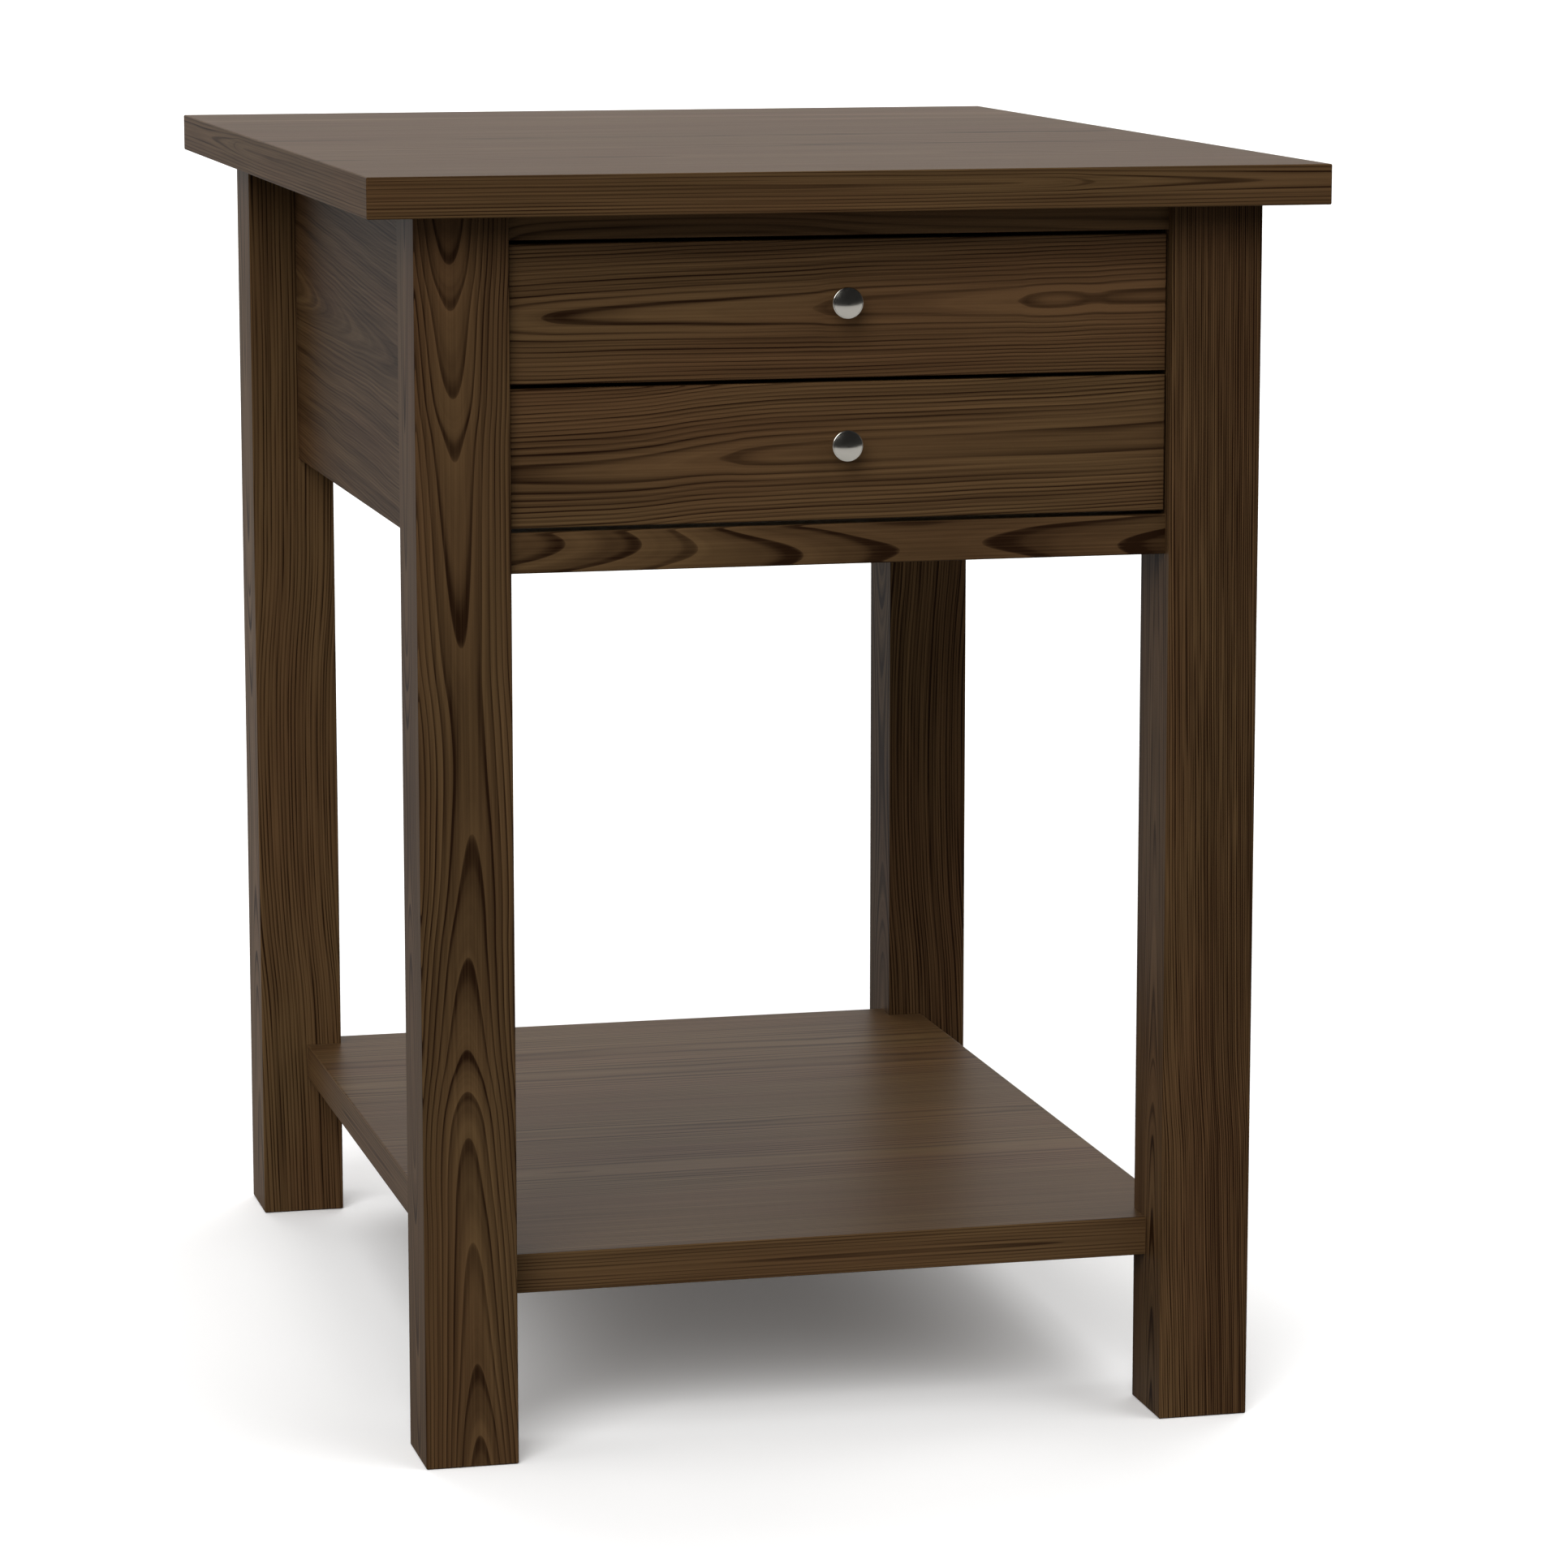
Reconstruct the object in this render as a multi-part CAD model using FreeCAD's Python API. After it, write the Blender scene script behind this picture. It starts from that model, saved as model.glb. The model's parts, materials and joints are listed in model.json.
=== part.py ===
import FreeCAD, Part
import os

# Accent table: a top on four square legs, two drawers on roller slides and a lower shelf.
# Millimetres. +Z is up, the front faces -Y, and the origin is on the floor at the middle.

# Table top and legs
table_width = 457.2
table_depth = 609.6
table_height = 609.6
top_thickness = 19.05
top_overhang = 25.4
leg_size = 44.45
edge_ease = 0.8

# Lower shelf, let into a housing in the inner corner of each leg
shelf_height = 95.25
shelf_thickness = 19.05
shelf_setback = 25.4

# Aprons and front rails
apron_height = 166.5
apron_thickness = 19.05
rail_setback = 6.35
upper_rail_height = 12.45
lower_rail_height = 19.05

# Dowels of the frame
apron_dowel_radius = 4.0
apron_dowel_length = 40.0
apron_dowel_edge = 25.0
dowel_stagger = 18.0
rail_dowel_radius = 3.0
rail_dowel_length = 36.0
rail_dowel_edge = 9.0
dowel_chamfer = 1.0
dowel_end_room = 1.0
glue_film = 0.05

# Strips that hold the top and keep an open drawer level
strip_width = 12.7
strip_screw_end = 60.0
top_screw_step = 35.0
rail_screw_end = 70.0

# Wood screws with flat countersunk heads
board_screw_length = 25.0
slide_screw_length = 16.0
runner_screw_length = 10.0
screw_head_radius = 3.0
screw_head_height = 1.8
screw_head_rim = 0.3
screw_shank_radius = 1.6
screw_tip_length = 3.0
screw_tip_radius = 0.3
pilot_play = 0.05

# Drawer fronts
drawer_gap = 2.0
drawer_side_gap = 0.8
front_thickness = 19.05

# Drawer boxes, dovetailed at the corners
box_wall = 12.7
box_lift = 6.0
box_drop = 10.0
box_rear_gap = 29.0
bottom_thickness = 6.35
groove_depth = 6.35
groove_lift = 8.0
groove_play = 0.2
tail_count = 2
pin_width = 6.0
tail_flare = 1.8
front_screw_edge = 38.0
front_screw_margin = 7.0

# Knobs, turned from metal
knob_radius = 7.4
knob_projection = 13.0
knob_crown = 1.6
knob_rim = 2.2
knob_round = 0.7
knob_neck_radius = 3.9
knob_base_radius = 4.8
knob_rise = 3.4
knob_hole_depth = 7.5
knob_screw_radius = 2.0
knob_screw_reach = 6.5
knob_screw_head_radius = 4.6
knob_screw_head_height = 2.2
knob_screw_play = 0.25
thread_play = 0.05

# Roller slides
slide_space = 12.7
slide_gauge = 1.2
slide_front_gap = 3.0
slide_rear_gap = 7.0
channel_width = 10.0
channel_lip = 3.0
roller_radius = 7.5
roller_width = 6.2
roller_edge = 0.6
roller_play = 0.3
roller_side_play = 0.1
roller_setback = 11.0
flange_cut = 22.0
runner_play = 0.3
runner_top_width = 9.5
runner_foot_width = 10.0
roller_pin_radius = 2.5
roller_pin_play = 0.1
pin_head_radius = 4.0
pin_head_height = 0.8
pin_collar_radius = 3.6
rail_pin_collar = 0.8
runner_pin_collar = 2.8
pin_rivet_radius = 2.0
rivet_play = 0.05
stop_height = 8.0
stop_drop = 3.5
stop_width = 5.0
stop_play = 0.3
drawer_travel = 330.0
slide_screw_end = 70.0
runner_screw_end = 55.0
runner_screw_lift = 5.0

V = FreeCAD.Vector
UP = V(0, 0, 1)
BACK = V(0, 1, 0)
FRONT = V(0, -1, 0)
LEFT = V(-1, 0, 0)
RIGHT = V(1, 0, 0)

# Places that follow from the sizes above
top_under = table_height - top_thickness
leg_outer_x = table_width / 2 - top_overhang
leg_outer_y = table_depth / 2 - top_overhang
leg_inner_x = leg_outer_x - leg_size
leg_inner_y = leg_outer_y - leg_size
apron_bottom = top_under - apron_height
front_face = -leg_outer_y + rail_setback
front_back = front_face + front_thickness
upper_rail_bottom = top_under - upper_rail_height
lower_rail_top = apron_bottom + lower_rail_height
front_height = (upper_rail_bottom - lower_rail_top - 3 * drawer_gap) / 2
box_height = front_height - box_lift - box_drop
box_half = leg_inner_x - slide_space
box_rear = leg_inner_y - box_rear_gap
slide_start = front_back + slide_front_gap
slide_end = box_rear - slide_rear_gap
channel_height = 2 * (slide_gauge + roller_play + roller_radius)
runner_height = channel_height + runner_play + slide_gauge
roller_axis_z = channel_height / 2
rail_roller_y = slide_start + roller_setback
rail_roller_z = channel_height - roller_radius
runner_roller_y = slide_end - slide_gauge - stop_play - roller_radius


def board(x, y, z):
    """A plain board between three pairs of limits."""
    return Part.makeBox(x[1] - x[0], y[1] - y[0], z[1] - z[0], V(x[0], y[0], z[0]))


def eased(shape, chosen):
    """Round the edges whose middle point is one of those chosen."""
    edges = [edge for edge in shape.Edges if chosen(edge.CenterOfMass)]
    return shape.makeFillet(edge_ease, edges)


def turned(outline, base, axis):
    """Turn a closed outline of (radius, distance) points about an axis that starts at base."""
    corners = [V(radius, 0, distance) for radius, distance in outline]
    face = Part.Face(Part.makePolygon(corners + corners[:1]))
    return placed(face.revolve(V(), UP, 360), base, axis)


def placed(shape, base, axis):
    """Move a shape that was made along +Z to its base and axis."""
    shape.Placement = FreeCAD.Placement(base, FreeCAD.Rotation(UP, axis))
    return shape


def cut_all(shape, cutters):
    """Take every cutter away from a shape."""
    return shape.cut(list(cutters)) if cutters else shape


def mirrored(shape):
    """The same piece on the other side of the table."""
    return shape.mirror(V(), RIGHT)


def dowel(middle, axis, radius, length):
    """A dowel with chamfered ends, given by its middle."""
    flat = radius - dowel_chamfer
    outline = [(0, 0), (flat, 0), (radius, dowel_chamfer), (radius, length - dowel_chamfer)]
    outline += [(flat, length), (0, length)]
    return turned(outline, middle - axis * (length / 2), axis)


def dowel_hole(middle, axis, radius, length):
    """The drilled hole for a dowel, in both boards at once."""
    reach = length / 2 + dowel_end_room
    return placed(Part.makeCylinder(radius + glue_film, 2 * reach), middle - axis * reach, axis)


def wood_screw(head, axis, length, play=0.0):
    """A countersunk screw from the middle of its head; with play it is the hole for that screw."""
    wide = screw_head_radius + play
    thin = screw_shank_radius + play
    tip = screw_tip_radius + play
    end = length + play
    outline = [(0, 0), (wide, 0), (wide, screw_head_rim), (thin, screw_head_height)]
    outline += [(thin, length - screw_tip_length), (tip, end), (0, end)]
    return turned(outline, head, axis)


def screw_holes(places, axis, length):
    """Holes for several screws that are driven the same way."""
    return [wood_screw(head, axis, length, pilot_play) for head in places]


def screws(places, axis, length):
    """Several screws that are driven the same way."""
    return [wood_screw(head, axis, length) for head in places]


def folded(outline, start, end):
    """Sheet metal: an inner outline in X and Z, thickened outwards by the gauge and run along Y."""
    inner = Part.makePolygon([V(x, start, z) for x, z in outline])
    section = inner.makeOffset2D(slide_gauge, join=0, fill=True, openResult=True)
    return section.extrude(V(0, end - start, 0))


def along(start, end, edge):
    """Three places on a length: one near each end and one in the middle."""
    return [start + edge, (start + end) / 2, end - edge]


# Places of the frame's dowels
side_dowel_z = along(apron_bottom, top_under, apron_dowel_edge)
back_dowel_z = [side_dowel_z[0] + dowel_stagger, side_dowel_z[1] + dowel_stagger]
back_dowel_z.append(side_dowel_z[2] - dowel_stagger)
apron_x = leg_inner_x + apron_thickness / 2
apron_y = leg_inner_y + apron_thickness / 2
side_dowels = [
    (V(side * apron_x, end * leg_inner_y, z), BACK)
    for side in (-1, 1) for end in (-1, 1) for z in side_dowel_z
]
back_dowels = [(V(side * leg_inner_x, apron_y, z), RIGHT) for side in (-1, 1) for z in back_dowel_z]
rail_back = -leg_inner_y
rail_dowel_y = (front_face + rail_dowel_edge, rail_back - rail_dowel_edge)
rail_dowel_z = ((upper_rail_bottom + top_under) / 2, (apron_bottom + lower_rail_top) / 2)
rail_dowels = [
    (V(side * leg_inner_x, y, z), RIGHT)
    for side in (-1, 1) for y in rail_dowel_y for z in rail_dowel_z
]
frame_dowel_holes = [
    dowel_hole(middle, axis, apron_dowel_radius, apron_dowel_length)
    for middle, axis in side_dowels + back_dowels
]
frame_dowel_holes += [
    dowel_hole(middle, axis, rail_dowel_radius, rail_dowel_length) for middle, axis in rail_dowels
]

# Places of the screws that hold the strips and the top
strip_inner = leg_inner_x - strip_width
strip_middle_z = (upper_rail_bottom + top_under) / 2
strip_screw_y = along(-leg_inner_y, leg_inner_y, strip_screw_end)
strip_screw_left = [V(-strip_inner, y, strip_middle_z) for y in strip_screw_y]
strip_screw_right = [V(strip_inner, y, strip_middle_z) for y in strip_screw_y]
strip_middle_x = leg_inner_x - strip_width / 2
top_screw_places = [
    V(side * strip_middle_x, y + top_screw_step, upper_rail_bottom)
    for side in (-1, 1) for y in strip_screw_y[:2]
]
rail_screw_x = leg_inner_x - rail_screw_end
rail_screw_y = (front_face + rail_back) / 2
top_screw_places += [V(side * rail_screw_x, rail_screw_y, upper_rail_bottom) for side in (-1, 1)]
top_screw_holes = screw_holes(top_screw_places, UP, board_screw_length)

# Heights of the drawer fronts
lower_front_bottom = lower_rail_top + drawer_gap
upper_front_bottom = lower_front_bottom + front_height + drawer_gap
drawers = {"upper": upper_front_bottom, "lower": lower_front_bottom}

# Places of the screws that hold the slide rails to the left apron
slide_screw_y = along(slide_start, slide_end, slide_screw_end)


def slide_floor(front_bottom):
    """Height of the underside of a slide below its drawer box."""
    return front_bottom + box_lift - slide_gauge


def slide_screw_places(side):
    """Heads of the rail screws on one apron, flush with the rails' webs."""
    x = side * (leg_inner_x - slide_gauge)
    return [V(x, y, slide_floor(base) + roller_axis_z) for base in drawers.values() for y in slide_screw_y]


pieces = {}

# The shelf and the top
shelf_board = board(
    (-leg_outer_x + shelf_setback, leg_outer_x - shelf_setback),
    (-leg_outer_y + shelf_setback, leg_outer_y - shelf_setback),
    (shelf_height - shelf_thickness, shelf_height),
)
pieces["lower_shelf"] = eased(shelf_board, lambda p: True)

top_board = board(
    (-table_width / 2, table_width / 2), (-table_depth / 2, table_depth / 2), (top_under, table_height)
)
pieces["table_top"] = cut_all(eased(top_board, lambda p: True), top_screw_holes)


def leg(side, end):
    """One square leg with its dowel holes and the housing for a corner of the shelf."""
    x = sorted((side * leg_inner_x, side * leg_outer_x))
    y = sorted((end * leg_inner_y, end * leg_outer_y))
    post = eased(board(x, y, (0, top_under)), lambda p: p.z < top_under - edge_ease)
    return cut_all(post, [shelf_board] + frame_dowel_holes)


for end, end_name in ((-1, "front"), (1, "back")):
    for side, side_name in ((-1, "left"), (1, "right")):
        pieces["leg_" + end_name + "_" + side_name] = leg(side, end)


def lower_edges(point):
    """The long edges along the bottom of an apron or rail."""
    return point.z < apron_bottom + edge_ease


def side_apron(side, strip_places):
    """One side apron, flush with the inner faces of its legs."""
    x = sorted((side * leg_inner_x, side * (leg_inner_x + apron_thickness)))
    blank = board(x, (-leg_inner_y, leg_inner_y), (apron_bottom, top_under))
    outward = RIGHT * side
    holes = screw_holes(strip_places, outward, board_screw_length)
    holes += screw_holes(slide_screw_places(side), outward, slide_screw_length)
    blank = eased(blank, lambda p: lower_edges(p) and abs(p.y) < edge_ease)
    return cut_all(blank, frame_dowel_holes + holes)


pieces["side_apron_left"] = side_apron(-1, strip_screw_left)
pieces["side_apron_right"] = side_apron(1, strip_screw_right)

back_board = board(
    (-leg_inner_x, leg_inner_x), (leg_inner_y, leg_inner_y + apron_thickness), (apron_bottom, top_under)
)
back_board = eased(back_board, lambda p: lower_edges(p) and abs(p.x) < edge_ease)
pieces["back_apron"] = cut_all(back_board, frame_dowel_holes)

rail_x = (-leg_inner_x, leg_inner_x)
upper_rail = board(rail_x, (front_face, rail_back), (upper_rail_bottom, top_under))
pieces["upper_front_rail"] = cut_all(upper_rail, frame_dowel_holes + top_screw_holes)

lower_rail = board(rail_x, (front_face, rail_back), (apron_bottom, lower_rail_top))
lower_rail = eased(lower_rail, lambda p: abs(p.x) < edge_ease and p.y < front_face + edge_ease)
pieces["lower_front_rail"] = cut_all(lower_rail, frame_dowel_holes)

# The strips, and the dowels and screws of the frame
strip = board((-leg_inner_x, -strip_inner), (-leg_inner_y, leg_inner_y), (upper_rail_bottom, top_under))
strip_holes = screw_holes(strip_screw_left, LEFT, board_screw_length)
pieces["top_strip_left"] = cut_all(strip, strip_holes + top_screw_holes)
pieces["top_strip_right"] = mirrored(pieces["top_strip_left"])

apron_set = [
    dowel(middle, axis, apron_dowel_radius, apron_dowel_length) for middle, axis in side_dowels + back_dowels
]
pieces["apron_dowels"] = Part.makeCompound(apron_set)
rail_set = [dowel(middle, axis, rail_dowel_radius, rail_dowel_length) for middle, axis in rail_dowels]
pieces["rail_dowels"] = Part.makeCompound(rail_set)
pieces["top_screws"] = Part.makeCompound(screws(top_screw_places, UP, board_screw_length))
strip_set = screws(strip_screw_left, LEFT, board_screw_length)
strip_set += screws(strip_screw_right, RIGHT, board_screw_length)
pieces["strip_screws"] = Part.makeCompound(strip_set)


def roller(x, y, z):
    """A nylon roller with a bore for its pin, given by the left end of its axis."""
    bore = roller_pin_radius + roller_pin_play
    rim = roller_radius - roller_edge
    outline = [(bore, 0), (rim, 0), (roller_radius, roller_edge)]
    outline += [(roller_radius, roller_width - roller_edge), (rim, roller_width), (bore, roller_width)]
    return turned(outline, V(x, y, z), RIGHT)


def roller_pin(x, y, z, collar, axis):
    """A riveted pin: a rivet through the web, a collar, the running length and a head."""
    shoulder = collar + roller_width + 2 * roller_side_play
    end = shoulder + pin_head_height
    outline = [(0, -slide_gauge), (pin_rivet_radius, -slide_gauge), (pin_rivet_radius, 0)]
    outline += [(pin_collar_radius, 0), (pin_collar_radius, collar), (roller_pin_radius, collar)]
    outline += [(roller_pin_radius, shoulder), (pin_head_radius, shoulder)]
    outline += [(pin_head_radius, end), (0, end)]
    return turned(outline, V(x, y, z), axis)


def rivet_hole(x, y, z, axis):
    """The hole in a web that a roller pin is riveted through."""
    hole = Part.makeCylinder(pin_rivet_radius + rivet_play, slide_gauge)
    return placed(hole, V(x, y, z) - axis * slide_gauge, axis)


wall_x = -leg_inner_x
rail_web_x = wall_x + slide_gauge
box_left = -box_half
runner_web_x = box_left - slide_gauge
rail_roller_x = rail_web_x + rail_pin_collar + roller_side_play
runner_roller_x = runner_web_x - runner_pin_collar - roller_side_play - roller_width


def slide_rail(floor):
    """The left rail: a channel on the apron, cut open above its front roller, with two stops."""
    inside_top = floor + channel_height - slide_gauge
    tip_x = wall_x + channel_width
    lip_x = tip_x - slide_gauge
    inner = [(lip_x, floor + channel_lip), (lip_x, floor + slide_gauge), (rail_web_x, floor + slide_gauge)]
    inner += [(rail_web_x, inside_top), (tip_x, inside_top)]
    channel = folded(inner, slide_start, slide_end)
    opening = board(
        (rail_web_x, tip_x + slide_gauge), (slide_start, slide_start + flange_cut),
        (inside_top, floor + channel_height + slide_gauge),
    )
    # The roller meets the front stop below its widest height, so the stop stands nearer than a radius
    stop_low = inside_top - stop_drop
    lean = stop_low - (floor + roller_axis_z)
    reach = (roller_radius ** 2 - lean ** 2) ** 0.5
    front_stop_y = runner_roller_y - drawer_travel - reach - stop_play - slide_gauge
    stop_x = (rail_web_x, rail_web_x + stop_width)
    front_stop = board(stop_x, (front_stop_y, front_stop_y + slide_gauge), (stop_low, inside_top))
    rear_stop_y = (slide_end - slide_gauge, slide_end)
    rear_stop = board(stop_x, rear_stop_y, (floor + slide_gauge, floor + stop_height))
    screw_places = [V(rail_web_x, y, floor + roller_axis_z) for y in slide_screw_y]
    holes = screw_holes(screw_places, LEFT, slide_screw_length)
    holes.append(rivet_hole(rail_web_x, rail_roller_y, floor + rail_roller_z, RIGHT))
    return cut_all(channel.cut(opening).fuse([front_stop, rear_stop]).removeSplitter(), holes)


def runner_screw_places(floor):
    """Heads of the screws that hold the left runner to its drawer side."""
    screw_y = along(slide_start, slide_end, runner_screw_end)
    return [V(runner_web_x, y, floor + runner_screw_lift) for y in screw_y]


def slide_runner(floor):
    """The left runner: a foot under the drawer side, a web and a flange that rides on the roller."""
    top = floor + runner_height
    path = [(box_left + runner_foot_width, floor + slide_gauge), (box_left, floor + slide_gauge)]
    path += [(box_left, top), (box_left - runner_top_width, top)]
    strip_shape = folded(path, slide_start, slide_end)
    holes = screw_holes(runner_screw_places(floor), RIGHT, runner_screw_length)
    holes.append(rivet_hole(runner_web_x, runner_roller_y, floor + roller_axis_z, LEFT))
    return cut_all(strip_shape, holes)


def box_side(low, high):
    """The left drawer side: one profile with dovetails at both ends, as thick as the wall."""
    front_base = front_back + box_wall
    rear_base = box_rear - box_wall
    pitch = (high - low) / tail_count
    rear_end = [(rear_base, low)]
    front_end = [(front_base, low)]
    for count in range(tail_count):
        tail_low = low + count * pitch + pin_width / 2 + tail_flare
        tail_high = low + (count + 1) * pitch - pin_width / 2 - tail_flare
        for profile, base, tip in ((rear_end, rear_base, box_rear), (front_end, front_base, front_back)):
            profile += [(base, tail_low), (tip, tail_low - tail_flare)]
            profile += [(tip, tail_high + tail_flare), (base, tail_high)]
    rear_end.append((rear_base, high))
    front_end.append((front_base, high))
    corners = [V(box_left, y, z) for y, z in rear_end + front_end[::-1]]
    return Part.Face(Part.makePolygon(corners + corners[:1])).extrude(RIGHT * box_wall)


def knob(z):
    """A turned knob: a waisted neck, a rounded rim and a gently crowned face."""
    hole = knob_screw_radius + thread_play
    face_edge = knob_projection - knob_crown
    rim_low = face_edge - knob_rim
    waist = knob_neck_radius

    def point(radius, distance):
        return V(radius, 0, distance)

    def arc(first, middle, last):
        return Part.Arc(point(*first), point(*middle), point(*last)).toShape()

    def line(first, last):
        return Part.LineSegment(point(*first), point(*last)).toShape()

    round_in = knob_round * (1 - 0.5 ** 0.5)
    inner_rim = knob_radius - knob_round
    flat = (knob_base_radius + inner_rim) / 2
    edges = [
        line((0, knob_hole_depth), (hole, knob_hole_depth)),
        line((hole, knob_hole_depth), (hole, 0)),
        line((hole, 0), (knob_base_radius, 0)),
        arc((knob_base_radius, 0), (waist, rim_low / 2), (flat, rim_low)),
        line((flat, rim_low), (inner_rim, rim_low)),
        arc(
            (inner_rim, rim_low), (knob_radius - round_in, rim_low + round_in),
            (knob_radius, rim_low + knob_round),
        ),
        line((knob_radius, rim_low + knob_round), (knob_radius, face_edge - knob_round)),
        arc(
            (knob_radius, face_edge - knob_round), (knob_radius - round_in, face_edge - round_in),
            (inner_rim, face_edge),
        ),
    ]
    sphere = (inner_rim ** 2 + knob_crown ** 2) / (2 * knob_crown)
    half = inner_rim / 2
    half_height = knob_projection - sphere + (sphere ** 2 - half ** 2) ** 0.5
    edges.append(arc((inner_rim, face_edge), (half, half_height), (0, knob_projection)))
    edges.append(line((0, knob_projection), (0, knob_hole_depth)))
    solid = Part.Face(Part.Wire(edges)).revolve(V(), UP, 360)
    return placed(solid, V(0, front_face, z), FRONT)


def knob_screw(z):
    """A machine screw from inside the drawer box into the knob."""
    length = box_wall + front_thickness + knob_screw_reach
    low = -knob_screw_head_height
    shoulder = knob_screw_head_radius * 0.75
    outline = [(0, low), (shoulder, low), (knob_screw_head_radius, low / 3), (knob_screw_head_radius, 0)]
    outline += [(knob_screw_radius, 0), (knob_screw_radius, length), (0, length)]
    return turned(outline, V(0, front_back + box_wall, z), FRONT)


def drawer(name, front_bottom):
    """All pieces of one drawer and of its slides."""
    floor = slide_floor(front_bottom)
    low = front_bottom + box_lift
    high = low + box_height
    knob_z = front_bottom + front_height / 2 + knob_rise
    knob_hole = Part.makeCylinder(knob_screw_radius + knob_screw_play, front_thickness + box_wall)
    knob_hole = placed(knob_hole, V(0, front_back + box_wall, knob_z), FRONT)

    # Screws from the box into the drawer front, one pair near each side above the bottom panel
    panel_low = low + groove_lift
    panel_high = panel_low + bottom_thickness
    screw_x = box_half - front_screw_edge
    screw_z = (panel_high + front_screw_margin, high - front_screw_margin)
    places = [V(side * screw_x, front_back + box_wall, z) for side in (-1, 1) for z in screw_z]
    front_holes = screw_holes(places, FRONT, board_screw_length) + [knob_hole]
    pieces[name + "_front_screws"] = Part.makeCompound(screws(places, FRONT, board_screw_length))

    # The drawer front
    half_width = leg_inner_x - drawer_side_gap
    slab_z = (front_bottom, front_bottom + front_height)
    slab = board((-half_width, half_width), (front_face, front_back), slab_z)
    slab = eased(slab, lambda p: p.y < front_face + edge_ease)
    pieces[name + "_drawer_front"] = cut_all(slab, front_holes)

    # The dovetailed box and the bottom panel in its grooves
    inner_half = box_half - box_wall
    inner_y = (front_back + box_wall, box_rear - box_wall)
    panel_half = inner_half + groove_depth
    panel_y = (inner_y[0] - groove_depth, inner_y[1] + groove_depth)
    groove = board((-panel_half, panel_half), panel_y, (panel_low, panel_high + groove_play))
    panel_half -= groove_play
    panel_y = (panel_y[0] + groove_play, panel_y[1] - groove_play)
    pieces[name + "_drawer_bottom"] = board((-panel_half, panel_half), panel_y, (panel_low, panel_high))
    side = box_side(low, high)
    sides = [side, mirrored(side)]
    box_x = (-box_half, box_half)
    box_front = board(box_x, (front_back, front_back + box_wall), (low, high))
    pieces[name + "_box_front"] = cut_all(box_front, sides + [groove] + front_holes)
    box_back = board(box_x, (box_rear - box_wall, box_rear), (low, high))
    pieces[name + "_box_back"] = cut_all(box_back, sides + [groove])
    side_holes = screw_holes(runner_screw_places(floor), RIGHT, runner_screw_length)
    pieces[name + "_box_side_left"] = cut_all(side, [groove] + side_holes)
    pieces[name + "_box_side_right"] = mirrored(pieces[name + "_box_side_left"])

    # The knob and its screw
    pieces[name + "_knob"] = knob(knob_z)
    pieces[name + "_knob_screw"] = knob_screw(knob_z)

    # The slides: left pieces, and their mirror images on the right
    left_runner_screws = screws(runner_screw_places(floor), RIGHT, runner_screw_length)
    right_runner_screws = [mirrored(screw) for screw in left_runner_screws]
    pieces[name + "_runner_screws"] = Part.makeCompound(left_runner_screws + right_runner_screws)
    rail_pin = roller_pin(rail_web_x, rail_roller_y, floor + rail_roller_z, rail_pin_collar, RIGHT)
    runner_pin = roller_pin(runner_web_x, runner_roller_y, floor + roller_axis_z, runner_pin_collar, LEFT)
    pieces[name + "_rail_pins"] = Part.makeCompound([rail_pin, mirrored(rail_pin)])
    pieces[name + "_runner_pins"] = Part.makeCompound([runner_pin, mirrored(runner_pin)])
    left_pieces = {
        "_slide_rail": slide_rail(floor),
        "_slide_runner": slide_runner(floor),
        "_rail_roller": roller(rail_roller_x, rail_roller_y, floor + rail_roller_z),
        "_runner_roller": roller(runner_roller_x, runner_roller_y, floor + roller_axis_z),
    }
    for piece_name, shape in left_pieces.items():
        pieces[name + piece_name + "_left"] = shape
        pieces[name + piece_name + "_right"] = mirrored(shape)


for drawer_name, drawer_bottom in drawers.items():
    drawer(drawer_name, drawer_bottom)

rail_screw_set = screws(slide_screw_places(-1), LEFT, slide_screw_length)
rail_screw_set += screws(slide_screw_places(1), RIGHT, slide_screw_length)
pieces["slide_rail_screws"] = Part.makeCompound(rail_screw_set)

os.makedirs("parts", exist_ok=True)
for node, shape in pieces.items():
    shape.exportStep("parts/" + node + ".step")
    print(node, len(shape.Solids), round(shape.Volume, 1), shape.isValid())
print(len(pieces), "nodes")
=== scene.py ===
# %% [markdown]
# # A dark stained accent table with two drawers
# The construction comes in as a fixed frame: every board, screw and slide already has its real size and
# place. This lesson dresses it. Most of the work is one wood: pine stained dark walnut, whose growth rings
# have to run through each board the way they do in the real one. Blender works in metres. The grain is
# described in millimetres, because that is how a maker measures rings.

# %% Load the frame
import json
import math

import bmesh
import bpy
from mathutils import Matrix, Vector

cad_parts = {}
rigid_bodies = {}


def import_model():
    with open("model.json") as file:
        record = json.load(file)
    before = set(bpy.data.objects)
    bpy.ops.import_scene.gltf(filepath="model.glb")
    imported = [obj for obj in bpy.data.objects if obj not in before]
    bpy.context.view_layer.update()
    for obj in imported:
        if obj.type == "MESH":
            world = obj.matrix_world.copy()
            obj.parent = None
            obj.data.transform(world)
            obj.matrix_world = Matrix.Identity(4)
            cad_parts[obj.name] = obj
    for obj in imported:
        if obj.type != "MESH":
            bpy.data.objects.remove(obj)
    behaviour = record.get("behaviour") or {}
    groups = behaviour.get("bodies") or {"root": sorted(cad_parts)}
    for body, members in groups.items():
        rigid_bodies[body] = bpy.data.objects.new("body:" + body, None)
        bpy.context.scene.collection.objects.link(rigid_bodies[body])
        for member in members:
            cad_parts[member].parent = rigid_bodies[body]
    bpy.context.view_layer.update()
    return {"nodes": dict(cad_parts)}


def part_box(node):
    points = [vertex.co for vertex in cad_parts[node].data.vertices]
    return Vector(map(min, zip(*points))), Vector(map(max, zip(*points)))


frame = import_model()
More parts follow.
